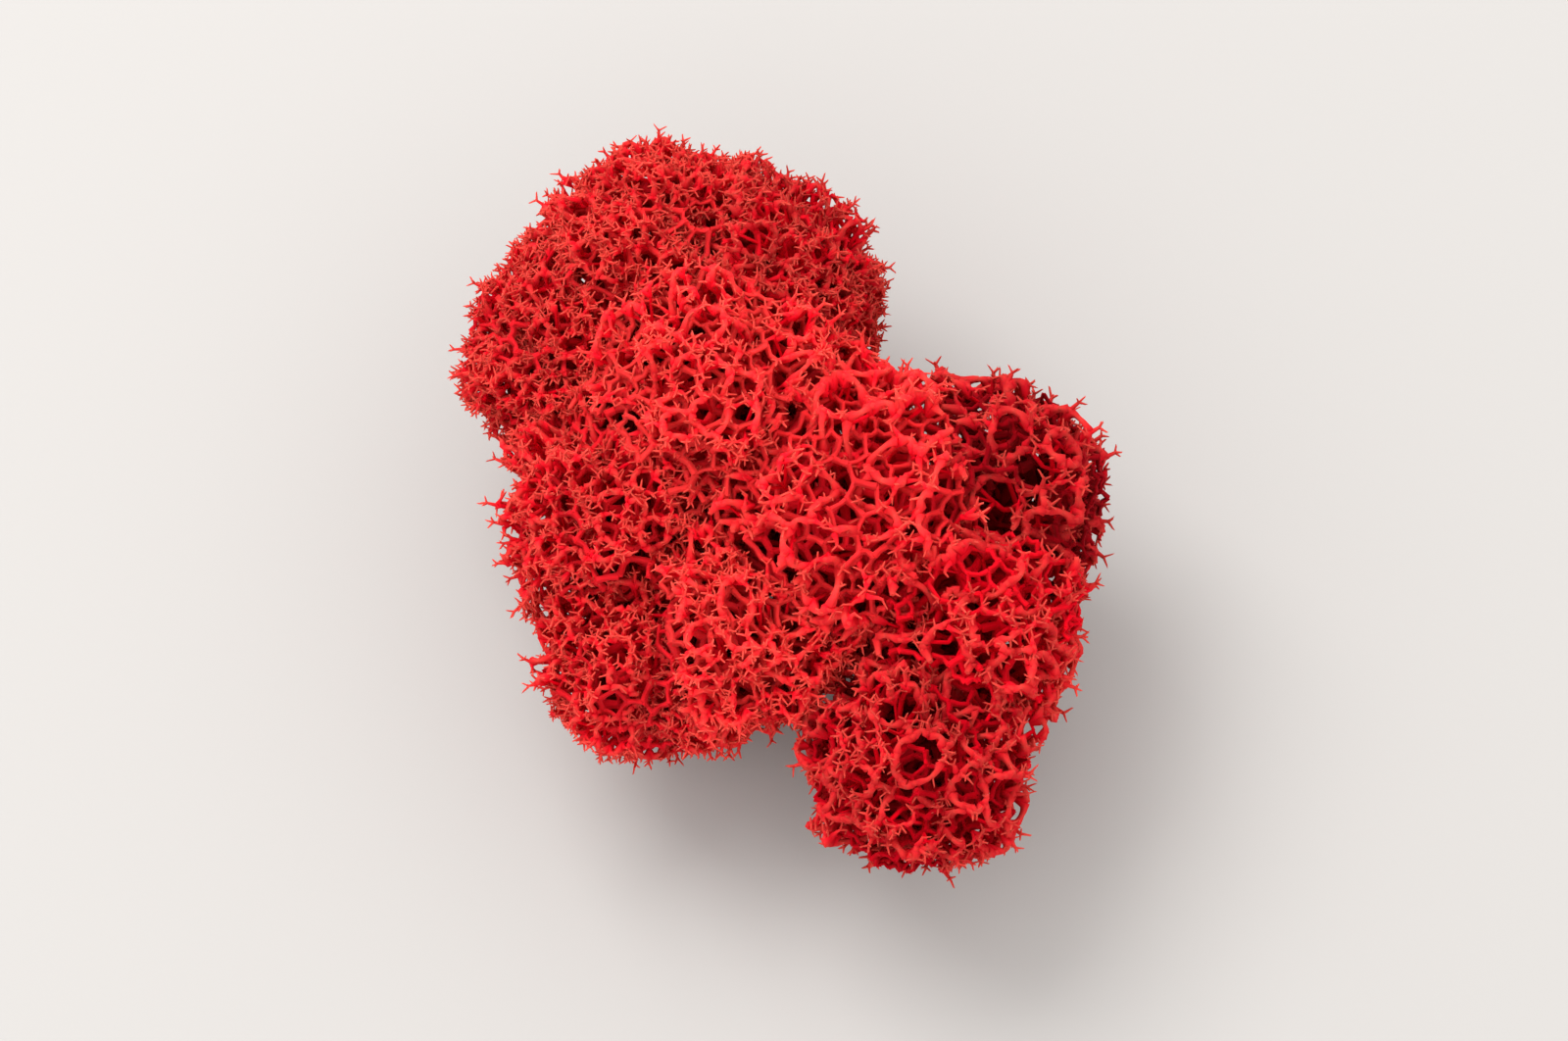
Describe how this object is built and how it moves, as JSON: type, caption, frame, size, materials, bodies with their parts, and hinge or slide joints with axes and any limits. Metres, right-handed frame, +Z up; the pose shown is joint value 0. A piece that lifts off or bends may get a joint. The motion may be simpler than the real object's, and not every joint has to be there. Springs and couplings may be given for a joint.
{
  "type": "preserved lichen clump",
  "caption": "Springy clump of preserved star-tipped reindeer lichen, dyed red, for decorating, floristry and model scenery; rests on its cut stem ends.",
  "frame": {"origin": "under the middle of the clump's bounding box, on the surface the stems' cut ends stand on", "axes": "+Z up, +Y along the clump's longer side in plan towards its back end, +X to the right as seen from the picture's side"},
  "size_m": [0.0682, 0.0786, 0.0435],
  "materials": {
    "lichen": "matte, felted dyed thallus"
  },
  "bodies": {
    "root": {"head_left": "lichen", "head_back_left": "lichen", "head_back": "lichen", "head_middle": "lichen", "head_centre": "lichen", "head_right": "lichen", "head_front_right": "lichen", "head_front": "lichen", "head_left_shoulder": "lichen", "head_front_left": "lichen", "head_low_left": "lichen"}
  },
  "joints": []
}
